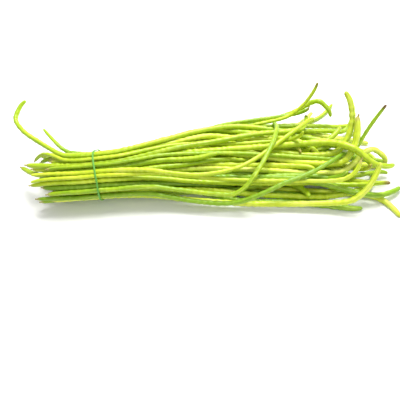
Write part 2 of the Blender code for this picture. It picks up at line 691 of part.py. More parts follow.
def pod_mesh(pod, shift):
    """The pod as a tube of flat-sided rings, closed by a point at each end."""
    heading, side, up = ring_frames(pod)
    turn = (np.arange(SIDES) + 0.5) * 2 * math.pi / SIDES - math.pi / 2
    across = side[:, None] * np.cos(turn)[None, :, None] + up[:, None] * np.sin(turn)[None, :, None]
    rings = pod.points[:, None] + across * pod.radii[:, None, None]
    rings[..., 2] = np.where(rings[..., 2] < SEAT_SNAP, 0.0, rings[..., 2])
    peaks = (pod.points[0] - heading[0] * pod.radii[0] * PEAK,
             pod.points[-1] + heading[-1] * pod.radii[-1] * PEAK)
    for peak in peaks:
        peak[2] = max(peak[2], PEAK_LOWEST)
    vertices = np.concatenate([rings.reshape(-1, 3), peaks]) + shift
    faces = []
    last = len(pod.points) - 1
    for k in range(last):
        for s in range(SIDES):
            n = (s + 1) % SIDES
            a, b, c, d = (k * SIDES + s, k * SIDES + n, (k + 1) * SIDES + n, (k + 1) * SIDES + s)
            faces += [(a, b, c), (a, c, d)]
    start, end = (last + 1) * SIDES, (last + 1) * SIDES + 1
    for s in range(SIDES):
        n = (s + 1) % SIDES
        faces += [(start, n, s), (end, last * SIDES + s, last * SIDES + n)]
    return vertices, faces


def band_rings(section, radii):
    """The band's rectangular section carried round the tied pods."""
    turn = np.linspace(0, 2 * math.pi, OUTLINE_POINTS, endpoint=False)
    circle = np.stack([np.cos(turn), np.sin(turn)], axis=1)
    cloud = (section[:, None] + circle * (radii[:, None, None] + BAND_CLEAR)).reshape(-1, 2)
    hull = convex_outline(cloud)
    closed = np.concatenate([hull, hull[:1]])
    flat = np.column_stack([closed, np.zeros(len(closed))])
    length = travelled(flat)[-1]
    inner = read_line(flat, np.arange(BAND_STATIONS) * length / BAND_STATIONS)[:, :2]
    tangent = unit(np.roll(inner, -1, 0) - np.roll(inner, 1, 0))
    outward = np.stack([tangent[:, 1], -tangent[:, 0]], axis=1)
    outer = inner + outward * BAND_THICKNESS
    slip = band_slip(inner)
    rings = []
    for near, far, x in zip(inner, outer, slip):
        rings.append([(x - BAND_WIDTH / 2, *near), (x + BAND_WIDTH / 2, *near),
                      (x + BAND_WIDTH / 2, *far), (x - BAND_WIDTH / 2, *far)])
    return np.array(rings)


def band_slip(outline):
    """How far the band has ridden towards the tips, most of all at the front."""
    angle = np.arctan2(outline[:, 1] - TIE_HEIGHT / 2, outline[:, 0]) % (2 * math.pi)
    turn = np.clip((angle - BAND_SLIP_AT) * BAND_SLIP_SPREAD, -math.pi / 2, math.pi / 2)
    return BAND_SLIP * np.cos(turn) ** BAND_SLIP_POWER


def convex_outline(cloud):
    """The convex outline of points in a plane, counter-clockwise."""
    cloud = sorted(map(tuple, cloud))

    def half(points):
        chain = []
        for p in points:
            while len(chain) > 1 and turns_right(chain[-2], chain[-1], p):
                chain.pop()
            chain.append(p)
        return chain[:-1]

    return np.array(half(cloud) + half(cloud[::-1]))


def turns_right(a, b, c):
    """Whether the way from a to b and on to c turns right, or not at all."""
    return (b[0] - a[0]) * (c[1] - a[1]) - (b[1] - a[1]) * (c[0] - a[0]) <= 0


def band_mesh(rings, shift):
    """The closed loop of the band."""
    count, sides = rings.shape[:2]
    faces = []
    for k in range(count):
        for s in range(sides):
            n, m = (s + 1) % sides, (k + 1) % count
            a, b, c, d = k * sides + s, k * sides + n, m * sides + n, m * sides + s
            faces += [(a, b, c), (a, c, d)]
    return rings.reshape(-1, 3) + shift, faces


def material(name, colour, roughness):
    """A plain surface of one colour."""
    made = bpy.data.materials.new(name)
    made.use_nodes = True
    shader = made.node_tree.nodes["Principled BSDF"]
    shader.inputs["Base Color"].default_value = (*colour, 1)
    shader.inputs["Roughness"].default_value = roughness
    shader.inputs["Metallic"].default_value = 0.0
    return made


def add_object(name, vertices, faces, finish):
    """Puts a solid into the scene as its own object."""
    mesh = bpy.data.meshes.new(name)
    mesh.from_pydata([tuple(map(float, v)) for v in vertices], [], faces)
    mesh.materials.append(finish)
    mesh.shade_smooth()
    mesh.set_sharp_from_angle(angle=SHARP_ANGLE)
    made = bpy.data.objects.new(name, mesh)
    bpy.context.scene.collection.objects.link(made)
    return made


def plan_pods():
    """Every pod's radius, slot in the tie and line, strays first and the rest as the sheaf flows."""
    rng = np.random.default_rng(SEED)
    rank = (np.arange(POD_COUNT) + 0.5) / POD_COUNT
    radii = POD_RADIUS[1] - (POD_RADIUS[1] - POD_RADIUS[0]) * rank
    radii += rng.uniform(-POD_UNEVEN, POD_UNEVEN, POD_COUNT)
    section = tie_section(radii)
    slots = {}
    for name, (wanted, _, _) in STRAYS.items():
        left = [k for k in range(POD_COUNT) if k not in slots.values()]
        slots[name] = min(left, key=lambda k: np.linalg.norm(section[k] - wanted))
    strays = {slots[name]: stray_side(section[slots[name]], points)
              for name, (_, _, points) in STRAYS.items()}
    out = Flow(rng, section, radii, strays, TIPS).lines()
    back = Flow(rng, section, radii, strays, STALKS).lines()
    pods = {}
    for name, (_, end, points) in STRAYS.items():
        slot = slots[name]
        radius = radii[slot] * OWN_GIRTH.get(name, 1.0)
        stalk_left = (end == "stalk") == (points[0][0] < 0)
        pods[slot] = Pod("pod_" + name, radius, back[slot], out[slot], stalk_left, True)
    rest = sorted(set(range(POD_COUNT)) - set(pods), key=lambda k: (round(section[k][1], 3), section[k][0]))
    for number, slot in enumerate(rest, 1):
        pods[slot] = Pod(f"pod_{number:02d}", radii[slot], back[slot], out[slot], True, False)
    return [pods[k] for k in range(POD_COUNT)], section, radii


def main():
    """Clears the scene and builds the bunch, centred over the origin."""
    for old in list(bpy.data.objects):
        bpy.data.objects.remove(old, do_unlink=True)
    pods, section, radii = plan_pods()
    clear = Sheaf(pods).settle()
    print(f"least clearance between pods {clear * 1000:.2f} mm")
    band = band_rings(section, radii)
    reach = np.concatenate([pod_mesh(p, 0)[0] for p in pods] + [band.reshape(-1, 3)])
    middle = (reach.min(0) + reach.max(0)) / 2
    shift = np.array([-middle[0], -middle[1], 0.0])
    rng = np.random.default_rng(SEED)
    for pod in pods:
        ripe, light = rng.uniform(0, 1), rng.uniform(*POD_LIGHT)
        colour = [light * (g * (1 - ripe) + y * ripe) for g, y in zip(GREEN_POD, YELLOW_POD)]
        skin = material(pod.name + "_skin", colour, POD_ROUGHNESS)
        add_object(pod.name, *pod_mesh(pod, shift), skin)
    elastic = material("green_elastic", GREEN_ELASTIC, ELASTIC_ROUGHNESS)
    add_object("rubber_band", *band_mesh(band, shift), elastic)
    return shift


if __name__ == "__main__":
    main()
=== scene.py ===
"""The looks of a bunch of yardlong beans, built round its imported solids.

Every pod's line and girth are read from its own solid. The pod is then grown along that line as
a fine skin with its seeds showing, its two seams, a cut stalk and a rounded tip. The elastic band
is swept round the pods in the same way. Lengths are in metres where nothing else is said.
"""

import logging
import math
from dataclasses import dataclass, field
from enum import Enum
from typing import Any, Callable, Optional

import bpy
import numpy as np
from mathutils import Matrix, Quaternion, Vector

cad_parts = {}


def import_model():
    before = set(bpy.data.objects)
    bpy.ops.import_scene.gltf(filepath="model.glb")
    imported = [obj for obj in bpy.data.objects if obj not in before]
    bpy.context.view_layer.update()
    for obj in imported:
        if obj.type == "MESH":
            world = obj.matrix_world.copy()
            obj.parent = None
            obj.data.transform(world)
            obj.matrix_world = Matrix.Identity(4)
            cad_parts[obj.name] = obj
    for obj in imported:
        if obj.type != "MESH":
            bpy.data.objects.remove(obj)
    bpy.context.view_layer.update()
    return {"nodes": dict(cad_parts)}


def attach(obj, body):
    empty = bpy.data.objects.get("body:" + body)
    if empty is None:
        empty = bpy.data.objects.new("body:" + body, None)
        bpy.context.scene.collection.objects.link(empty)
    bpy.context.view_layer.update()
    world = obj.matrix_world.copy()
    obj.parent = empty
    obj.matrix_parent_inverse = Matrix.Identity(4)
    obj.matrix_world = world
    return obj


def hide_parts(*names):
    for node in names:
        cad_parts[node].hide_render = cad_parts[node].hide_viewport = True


LOG = logging.getLogger("bean_bunch")
MM = 0.001
BODY = "root"
BAND_NODE = "rubber_band"
POD_PREFIX = "pod_"
RANDOM_SEED = 23

# Corners of a solid that round to the same multiple of this are one.
SAME_POINT = 0.005 * MM


def to_linear(code: str) -> tuple[float, float, float, float]:
    """Turns an sRGB hex value into a linear colour, by sRGB's own curve.

    Args:
        code: The colour as "#RRGGBB".

    Returns:
        Red, green, blue and an alpha of 1, linear.
    """
    channels = [int(code[k:k + 2], 16) / 255 for k in (1, 3, 5)]
    linear = [c / 12.92 if c <= 0.04045 else ((c + 0.055) / 1.055) ** 2.4 for c in channels]
    return (*linear, 1.0)


def add_node(tree: bpy.types.NodeTree, kind: str, settings: Optional[dict[str, Any]] = None,
             inputs: Optional[dict[Any, Any]] = None) -> bpy.types.Node:
    """Adds a node to a tree, with its settings and its inputs.

    Args:
        tree: The tree that takes the node.
        kind: Blender's name for the kind of node.
        settings: The node's own properties by name.
        inputs: For each input, by name or number, a socket to link or a value to set.

    Returns:
        The new node.
    """
    node = tree.nodes.new(kind)
    for name, value in (settings or {}).items():
        setattr(node, name, value)
    for key, value in (inputs or {}).items():
        if isinstance(value, bpy.types.NodeSocket):
            tree.links.new(value, node.inputs[key])
        else:
            node.inputs[key].default_value = value
    return node


def sums(tree: bpy.types.NodeTree) -> Callable[..., bpy.types.NodeSocket]:
    """Makes a function that adds sums to a tree.

    Args:
        tree: The tree that takes the sums.

    Returns:
        The function. It takes the operation and its values, and gives the result's socket.
    """
    def number(operation: str, *values: Any) -> bpy.types.NodeSocket:
        """The result of one sum on numbers and sockets."""
        inputs = dict(enumerate(values))
        return add_node(tree, "ShaderNodeMath", {"operation": operation}, inputs).outputs[0]

    return number


class Ripeness(Enum):
    """How far a pod has turned from leaf green to pale yellow."""

    GREEN = 0.12
    LIGHT_GREEN = 0.34
    LIME = 0.56
    YELLOW = 0.76
    PALE = 0.95


@dataclass(frozen=True)
class Growth:
    """What sets one pod apart: its ripeness, how dry its tip is and how freckled its skin."""

    ripeness: Ripeness
    dry_tip: float
    freckles: float


# The straying pods show their own colours. The others draw theirs at random.
STRAY_GROWTH = {
    "pod_curl_left": Growth(Ripeness.LIGHT_GREEN, 0.0, 0.5),
    "pod_thin_left": Growth(Ripeness.GREEN, 0.0, 0.2),
    "pod_long_stalk": Growth(Ripeness.LIGHT_GREEN, 0.0, 0.7),
    "pod_arch_left": Growth(Ripeness.LIME, 0.0, 0.3),
    "pod_spear_back": Growth(Ripeness.LIME, 0.7, 0.5),
    "pod_spear_middle": Growth(Ripeness.YELLOW, 0.2, 0.4),
    "pod_spear_far": Growth(Ripeness.LIGHT_GREEN, 1.0, 0.8),
    "pod_thick_up": Growth(Ripeness.YELLOW, 0.0, 0.3),
    "pod_loop_right": Growth(Ripeness.PALE, 0.6, 0.8),
    "pod_cross_low": Growth(Ripeness.LIGHT_GREEN, 0.0, 0.5),
    "pod_cross_middle": Growth(Ripeness.GREEN, 0.1, 0.6),
    "pod_cross_high": Growth(Ripeness.YELLOW, 0.0, 0.3),
    "pod_bent_end": Growth(Ripeness.YELLOW, 0.0, 0.3),
    "pod_hook_front": Growth(Ripeness.PALE, 0.1, 0.3),
    "pod_edge_right": Growth(Ripeness.LIME, 0.3, 0.5),
    "pod_arc_back": Growth(Ripeness.LIGHT_GREEN, 0.2, 0.4),
}


def travelled(line: np.ndarray) -> np.ndarray:
    """The distance along a line at each of its points."""
    return np.concatenate([[0.0], np.cumsum(np.linalg.norm(np.diff(line, axis=0), axis=1))])


def read_line(line: np.ndarray, places: np.ndarray) -> np.ndarray:
    """The points at these distances along a line."""
    along = travelled(line)
    return np.stack([np.interp(places, along, line[:, k]) for k in range(3)], axis=1)


def soft_curve(knots: np.ndarray, drawn_in: float, closed: bool, steps: int = 12) -> np.ndarray:
    """A smooth line by its knots, part way between one through them and one that cuts their corners.

    Args:
        knots: The knots, one row each.
        drawn_in: 0 for a curve through the knots (Catmull-Rom), 1 for a uniform B-spline.
        closed: Whether the last knot joins the first.
        steps: Points for each stretch between two knots.

    Returns:
        The line's points. An open line keeps its first and last knot.
    """
    if closed:
        padded = np.concatenate([knots[-1:], knots, knots[:2]])
    else:
        padded = np.concatenate([2 * knots[:1] - knots[1:2], knots, 2 * knots[-1:] - knots[-2:-1]])
    t = np.linspace(0, 1, steps, endpoint=False)[:, None]
    parts = []
    for a, b, c, d in zip(padded, padded[1:], padded[2:], padded[3:]):
        through = 0.5 * (2 * b + (c - a) * t + (2 * a - 5 * b + 4 * c - d) * t**2
                         + (3 * b - a - 3 * c + d) * t**3)
        within = ((1 - t) ** 3 * a + (3 * t**3 - 6 * t**2 + 4) * b
                  + (3 * t**2 + 3 * t - 3 * t**3 + 1) * c + t**3 * d) / 6
        parts.append(through * (1 - drawn_in) + within * drawn_in)
    if not closed:
        parts.append(knots[-1:])
    return np.concatenate(parts)


def eased_table(knots: tuple[tuple[float, float], ...], places: np.ndarray) -> np.ndarray:
    """Reads a table at these places by cubics that never overshoot its values.

    Args:
        knots: Pairs of a place and a value, in order.
        places: Where to read. Past either end the end's value holds.

    Returns:
        One value for each place.
    """
    x, y = np.array(knots).T
    rise = np.diff(y) / np.diff(x)
    both = rise[:-1] + rise[1:]
    same_way = rise[:-1] * rise[1:] > 0
    inner = np.where(same_way, 2 * rise[:-1] * rise[1:] / np.where(both == 0, 1, both), 0)
    slope = np.concatenate([rise[:1], inner, rise[-1:]])
    places = np.clip(places, x[0], x[-1])
    k = np.clip(np.searchsorted(x, places) - 1, 0, len(rise) - 1)
    span = x[k + 1] - x[k]
    t = (places - x[k]) / span
    return (y[k] * (2 * t**3 - 3 * t**2 + 1) + slope[k] * span * (t**3 - 2 * t**2 + t)
            + y[k + 1] * (3 * t**2 - 2 * t**3) + slope[k + 1] * span * (t**3 - t**2))


def read_mesh(mesh: bpy.types.Mesh) -> tuple[np.ndarray, np.ndarray]:
    """Reads a mesh as triangles.

    Args:
        mesh: The mesh.

    Returns:
        Its points, and its triangles by the numbers of their points, one row each.
    """
    mesh.calc_loop_triangles()
    points = np.empty(len(mesh.vertices) * 3)
    mesh.vertices.foreach_get("co", points)
    faces = np.empty(len(mesh.loop_triangles) * 3, int)
    mesh.loop_triangles.foreach_get("vertices", faces)
    return points.reshape(-1, 3), faces.reshape(-1, 3)


def merged_triangles(node: bpy.types.Object) -> tuple[np.ndarray, np.ndarray]:
    """Reads a solid with each of its corners once.

    Args:
        node: The solid.

    Returns:
        Its corners, and its triangles by the numbers of their corners, one row each.
    """
    points, faces = read_mesh(node.data)
    rounded = np.round(points / SAME_POINT).astype(int)
    _, first, index = np.unique(rounded, axis=0, return_index=True, return_inverse=True)
    return points[first], index.reshape(-1)[faces]


@dataclass
class PodForm:
    """A pod's line and girth, read from its solid, stalk end first."""

    line: np.ndarray
    radius: float

    # How far the line cuts the corners at the rings' centres, as soft_curve takes it.
    DRAWN_IN = 0.85
    # The end whose second ring is more than this many times as wide as its first is the tip.
    TIP_STEP = 1.25

    @classmethod
    def of_node(cls, node: bpy.types.Object) -> "PodForm":
        """Reads a pod's rings by walking its mesh from one end to the other.

        Args:
            node: The pod's solid.

        Returns:
            Its smooth line from the stalk's cut end to the tip, and its full radius.
        """
        points, faces = merged_triangles(node)
        near: list[set[int]] = [set() for _ in points]
        for a, b, c in faces:
            near[a] |= {b, c}
            near[b] |= {a, c}
            near[c] |= {a, b}
        end = cls.levels(near, 0)[-1][0]
        rings = cls.levels(near, end)
        centres = np.array([points[ring].mean(0) for ring in rings])
        radii = np.array([np.linalg.norm(points[r] - c, axis=1).mean() for r, c in zip(rings, centres)])
        if radii[2] > cls.TIP_STEP * radii[1]:
            centres = centres[::-1]
        return cls(soft_curve(centres, cls.DRAWN_IN, closed=False), float(radii.max()))

    @staticmethod
    def levels(near: list[set[int]], start: int) -> list[list[int]]:
        """Sorts the points by their steps from a start.

        Args:
            near: The neighbours of each point.
            start: The point to start from.

        Returns:
            The points of each step. On a pod these are its rings in order.
        """
        seen, level, found = {start}, [start], []
        while level:
            found.append(level)
            level = sorted({n for k in level for n in near[k]} - seen)
            seen |= set(level)
        return found


@dataclass(frozen=True)
class PodOutline:
    """How a pod's radius grows from its stalk's cut end, and from its tip.

    The tables pair a distance in millimetres with a share of the full radius. Rings stand at the
    end steps from each end, and about a step apart between them, in millimetres too.
    """

    stalk: tuple[tuple[float, float], ...] = (
        (0.0, 0.02), (0.12, 0.22), (0.35, 0.31), (0.8, 0.33), (2.0, 0.29), (3.0, 0.31), (3.6, 0.40),
        (4.3, 0.52), (5.2, 0.62), (6.8, 0.74), (9.5, 0.84), (14.0, 0.92), (20.0, 0.965), (30.0, 1.0))
    tip: tuple[tuple[float, float], ...] = (
        (0.0, 0.02), (0.06, 0.12), (0.2, 0.22), (0.45, 0.33), (0.8, 0.43), (1.3, 0.53), (2.2, 0.62),
        (4.0, 0.70), (7.5, 0.78), (12.5, 0.85), (20.0, 0.91), (30.0, 0.95), (45.0, 0.985), (62.0, 1.0))
    end_steps: tuple[float, ...] = (0.0, 0.08, 0.22, 0.45, 0.8, 1.3, 2.1, 2.9, 3.5, 4.1, 4.8, 5.7, 7.0, 8.6)
    step: float = 1.75

    def places(self, length: float) -> np.ndarray:
        """Sets the rings along a pod, close at its ends and even between them.

        Args:
            length: The pod's length.

        Returns:
            The rings' distances from the stalk's cut end.
        """
        ends = np.array(self.end_steps) * MM
        count = round((length - 2 * ends[-1]) / (self.step * MM))
        body = np.linspace(ends[-1], length - ends[-1], count + 1)
        return np.concatenate([ends[:-1], body, (length - ends[:-1])[::-1]])

    def share(self, along: np.ndarray, left: np.ndarray) -> np.ndarray:
        """The share of the full radius at these distances from the stalk's end and from the tip."""
        return eased_table(self.stalk, along / MM) * eased_table(self.tip, left / MM)


def new_mesh_object(name: str, points: np.ndarray, edges: list[tuple[int, int]]) -> bpy.types.Object:
    """Makes an object of loose edges in the scene, as a path for a tree to sweep along.

    Args:
        name: The object's name, and its mesh's.
        points: The points, one row each.
        edges: Pairs of points to join.

    Returns:
        The new object.
    """
    mesh = bpy.data.meshes.new(name)
    mesh.from_pydata(points.tolist(), edges, [])
    made = bpy.data.objects.new(name, mesh)
    bpy.context.scene.collection.objects.link(made)
    return made


def set_attribute(made: bpy.types.Object, name: str, values: Any) -> None:
    """Gives every point of a mesh a number under this name.

    Args:
        made: The object that takes the numbers.
        name: The attribute's name.
        values: One number for each point, or one for all.
    """
    count = len(made.data.vertices)
    layer = made.data.attributes.new(name, "FLOAT", "POINT")
    layer.data.foreach_set("value", np.broadcast_to(np.asarray(values, np.float32), count).copy())


def apply_tree(made: bpy.types.Object, tree: bpy.types.NodeTree, values: dict[str, Any]) -> None:
    """Runs a tree on an object and keeps the result as its plain mesh, faces outwards.

    Args:
        made: The object, whose mesh is the tree's path.
        tree: The Geometry Nodes tree.
        values: The tree's inputs by name.
    """
    modifier = made.modifiers.new(tree.name, "NODES")
    modifier.node_group = tree
    for item in tree.interface.items_tree:
        if item.item_type == "SOCKET" and item.in_out == "INPUT" and item.name in values:
            modifier[item.identifier] = values[item.name]
    graph = bpy.context.evaluated_depsgraph_get()
    mesh = bpy.data.meshes.new_from_object(made.evaluated_get(graph), depsgraph=graph)
    made.modifiers.remove(modifier)
    path, made.data = made.data, mesh
    bpy.data.meshes.remove(path)
    mesh.name = made.name
    if signed_volume(mesh) < 0:
        mesh.flip_normals()


def signed_volume(mesh: bpy.types.Mesh) -> float:
    """Sums the volume that a closed mesh holds.

    Args:
        mesh: The mesh.

    Returns:
        The volume, below zero where the faces point inwards.
    """
    points, faces = read_mesh(mesh)
    corners = points[faces]
    return float(np.linalg.det(corners - corners[0, 0]).sum() / 6)


@dataclass(frozen=True)
class PodSkinTree:
    """The tree that grows a pod along its line.

    The pod is a touch flat between its two seams, which stand out as fine ridges. Its seeds show
    as a row of soft swellings with waists between them, and its girth wanders a little. Its ends
    are plain for a first length, and the relief then rises over a second. The twist is in radians
    for each metre, the seeds' drift in seeds, and about as many seeds as filled_seeds in a row
    are filled alike.
    """

    sides: int = 20
    seed_spacing: float = 10.5 * MM
    seed_swell: float = 0.065
    flatness: float = 0.035
    seam_ridge: float = 0.035
    seam_sharpness: float = 26.0
    wander: float = 0.15
    wander_length: float = 38 * MM
    line_wander: float = 0.7 * MM
    bend_length: float = 30 * MM
    twist: float = 5.0
    seed_drift: float = 1.6
    filled_seeds: float = 3.0
    plain_stalk: tuple[float, float] = (14 * MM, 24 * MM)
    plain_tip: tuple[float, float] = (8 * MM, 22 * MM)

    def values(self, skin: bpy.types.Material) -> dict[str, Any]:
        """Gives the tree its inputs.

        Args:
            skin: The pods' material.

        Returns:
            A value for each of the tree's inputs but the path, by name.
        """
        return {"Sides": self.sides, "Seed Spacing": self.seed_spacing, "Seed Swell": self.seed_swell,
                "Flatness": self.flatness, "Seam Ridge": self.seam_ridge, "Girth Wander": self.wander,
                "Wander Length": self.wander_length, "Line Wander": self.line_wander, "Twist": self.twist,
                "Skin": skin}

    def build(self) -> bpy.types.NodeTree:
        """Builds the tree.

        Returns:
            A tree that turns a path with the attributes girth, along, left and phase into a pod.
        """
        tree = bpy.data.node_groups.new("bean_pod_growth", "GeometryNodeTree")
        tree.interface.new_socket("Path", in_out="INPUT", socket_type="NodeSocketGeometry")
        tree.interface.new_socket("Sides", in_out="INPUT", socket_type="NodeSocketInt")
        for name in ("Seed Spacing", "Seed Swell", "Flatness", "Seam Ridge", "Girth Wander",
                     "Wander Length", "Line Wander", "Twist"):
            tree.interface.new_socket(name, in_out="INPUT", socket_type="NodeSocketFloat")
        tree.interface.new_socket("Skin", in_out="INPUT", socket_type="NodeSocketMaterial")
        tree.interface.new_socket("Pod", in_out="OUTPUT", socket_type="NodeSocketGeometry")
        given = add_node(tree, "NodeGroupInput").outputs
        girth, along, left, phase, turn = (
            add_node(tree, "GeometryNodeInputNamedAttribute", {"data_type": "FLOAT"},
                     {"Name": name}).outputs[0]
            for name in ("girth", "along", "left", "phase", "turn"))
        number = sums(tree)

        # The path wanders off its line a little, and is swept into a smooth tube with closed ends.
        path = add_node(tree, "GeometryNodeMeshToCurve", inputs={"Mesh": given["Path"]}).outputs[0]
        bends = number("MULTIPLY", along, 1 / self.bend_length)
        apart = add_node(tree, "ShaderNodeCombineXYZ", inputs={0: bends, 1: phase}).outputs[0]
        aside = add_node(tree, "ShaderNodeTexNoise", {"noise_dimensions": "3D"},
                         {"Vector": apart, "Scale": 1.0, "Detail": 1.0}).outputs["Color"]
        aside = add_node(tree, "ShaderNodeVectorMath", {"operation": "SUBTRACT"},
                         {0: aside, 1: (0.5, 0.5, 0.5)}).outputs[0]
        aside = add_node(tree, "ShaderNodeVectorMath", {"operation": "SCALE"},
                         {0: aside, "Scale": given["Line Wander"]}).outputs[0]
        path = add_node(tree, "GeometryNodeSetPosition",
                        inputs={"Geometry": path, "Offset": aside}).outputs[0]
        tilt = number("MULTIPLY_ADD", along, given["Twist"], phase)
        path = add_node(tree, "GeometryNodeSetCurveTilt",
                        inputs={"Curve": path, "Tilt": tilt}).outputs[0]
        ring = add_node(tree, "GeometryNodeCurvePrimitiveCircle",
                        inputs={"Resolution": given["Sides"], "Radius": 1.0}).outputs[0]
        factor = add_node(tree, "GeometryNodeSplineParameter").outputs["Factor"]
        ring = add_node(tree, "GeometryNodeStoreNamedAttribute", {"data_type": "FLOAT", "domain": "POINT"},
                        {"Geometry": ring, "Name": "turn", "Value": factor}).outputs[0]
        pod = add_node(tree, "GeometryNodeCurveToMesh", inputs={
            "Curve": path, "Profile Curve": ring, "Scale": girth, "Fill Caps": True}).outputs[0]

        # The tube's relief: the seams, the seeds, the flat sides and the wandering girth.
        angle = number("MULTIPLY", turn, 2 * math.pi)
        across, up = number("COSINE", angle), number("SINE", angle)
        seam = number("POWER", number("ABSOLUTE", across), self.seam_sharpness)
        body = number("MULTIPLY", self.fade(number, along, *self.plain_stalk),
                      self.fade(number, left, *self.plain_tip))

        drift = add_node(tree, "ShaderNodeTexNoise", {"noise_dimensions": "1D"},
                         {"W": number("ADD", number("DIVIDE", along, given["Wander Length"]), phase),
                          "Scale": 1.0, "Detail": 1.0}).outputs["Fac"]
        drift = number("SUBTRACT", drift, 0.5)
        beat = number("ADD", number("DIVIDE", along, given["Seed Spacing"]),
                      number("MULTIPLY", drift, self.seed_drift))
        beat = number("COSINE", number("MULTIPLY", beat, 2 * math.pi))
        runs = number("DIVIDE", along, self.filled_seeds * self.seed_spacing)
        filled = add_node(tree, "ShaderNodeTexNoise", {"noise_dimensions": "1D"},
                          {"W": number("ADD", runs, phase), "Scale": 1.0, "Detail": 0.0}).outputs["Fac"]
        # The noise is about a half on average, so twice the swell gives the one asked for.
        swell = number("MULTIPLY", number("MULTIPLY", beat, filled),
                       number("MULTIPLY", given["Seed Swell"], 2.0))
        flat = number("MULTIPLY", number("MULTIPLY", up, up), given["Flatness"])
        ridge = number("MULTIPLY", seam, given["Seam Ridge"])
        relief = number("ADD", number("SUBTRACT", swell, flat), ridge)
        relief = number("ADD", relief, number("MULTIPLY", drift, given["Girth Wander"]))
        height = number("MULTIPLY", number("MULTIPLY", relief, body), girth)

        # The relief stands out from the tube, and nothing goes below the floor.
        normal = add_node(tree, "GeometryNodeInputNormal").outputs[0]
        offset = add_node(tree, "ShaderNodeVectorMath", {"operation": "SCALE"},
                          {0: normal, "Scale": height}).outputs[0]
        pod = add_node(tree, "GeometryNodeSetPosition",
                       inputs={"Geometry": pod, "Offset": offset}).outputs[0]
        place = add_node(tree, "ShaderNodeSeparateXYZ",
                         inputs={0: add_node(tree, "GeometryNodeInputPosition").outputs[0]}).outputs
        resting = add_node(tree, "ShaderNodeCombineXYZ", inputs={
            0: place[0], 1: place[1], 2: number("MAXIMUM", place[2], 0.0)}).outputs[0]
        pod = add_node(tree, "GeometryNodeSetPosition",
                       inputs={"Geometry": pod, "Position": resting}).outputs[0]

        # The skin reads the place on the straightened pod, the seams and the seeds. The seeds' swellings
        # take a painted highlight there.
        straight = add_node(tree, "ShaderNodeCombineXYZ", inputs={
            0: number("MULTIPLY", across, girth), 1: number("MULTIPLY", up, girth), 2: along}).outputs[0]
        for name, kind, value in (("straight", "FLOAT_VECTOR", straight), ("seam", "FLOAT", seam),
                                  ("seed", "FLOAT", number("MULTIPLY", beat, body))):
            pod = add_node(tree, "GeometryNodeStoreNamedAttribute", {"data_type": kind, "domain": "POINT"},
                           {"Geometry": pod, "Name": name, "Value": value}).outputs[0]
        pod = add_node(tree, "GeometryNodeSetShadeSmooth", inputs={"Geometry": pod}).outputs[0]
        pod = add_node(tree, "GeometryNodeRealizeInstances", inputs={"Geometry": pod}).outputs[0]
        pod = add_node(tree, "GeometryNodeSetMaterial",
                       inputs={"Geometry": pod, "Material": given["Skin"]}).outputs[0]
        add_node(tree, "NodeGroupOutput", inputs={"Pod": pod})
        return tree

    @staticmethod
    def fade(number: Callable[..., bpy.types.NodeSocket], distance: bpy.types.NodeSocket,
             start: float, over: float) -> bpy.types.NodeSocket:
        """0 up to a start, then rising to 1 over a distance."""
        share = number("DIVIDE", number("SUBTRACT", distance, start), over)
        return number("MINIMUM", number("MAXIMUM", share, 0.0), 1.0)


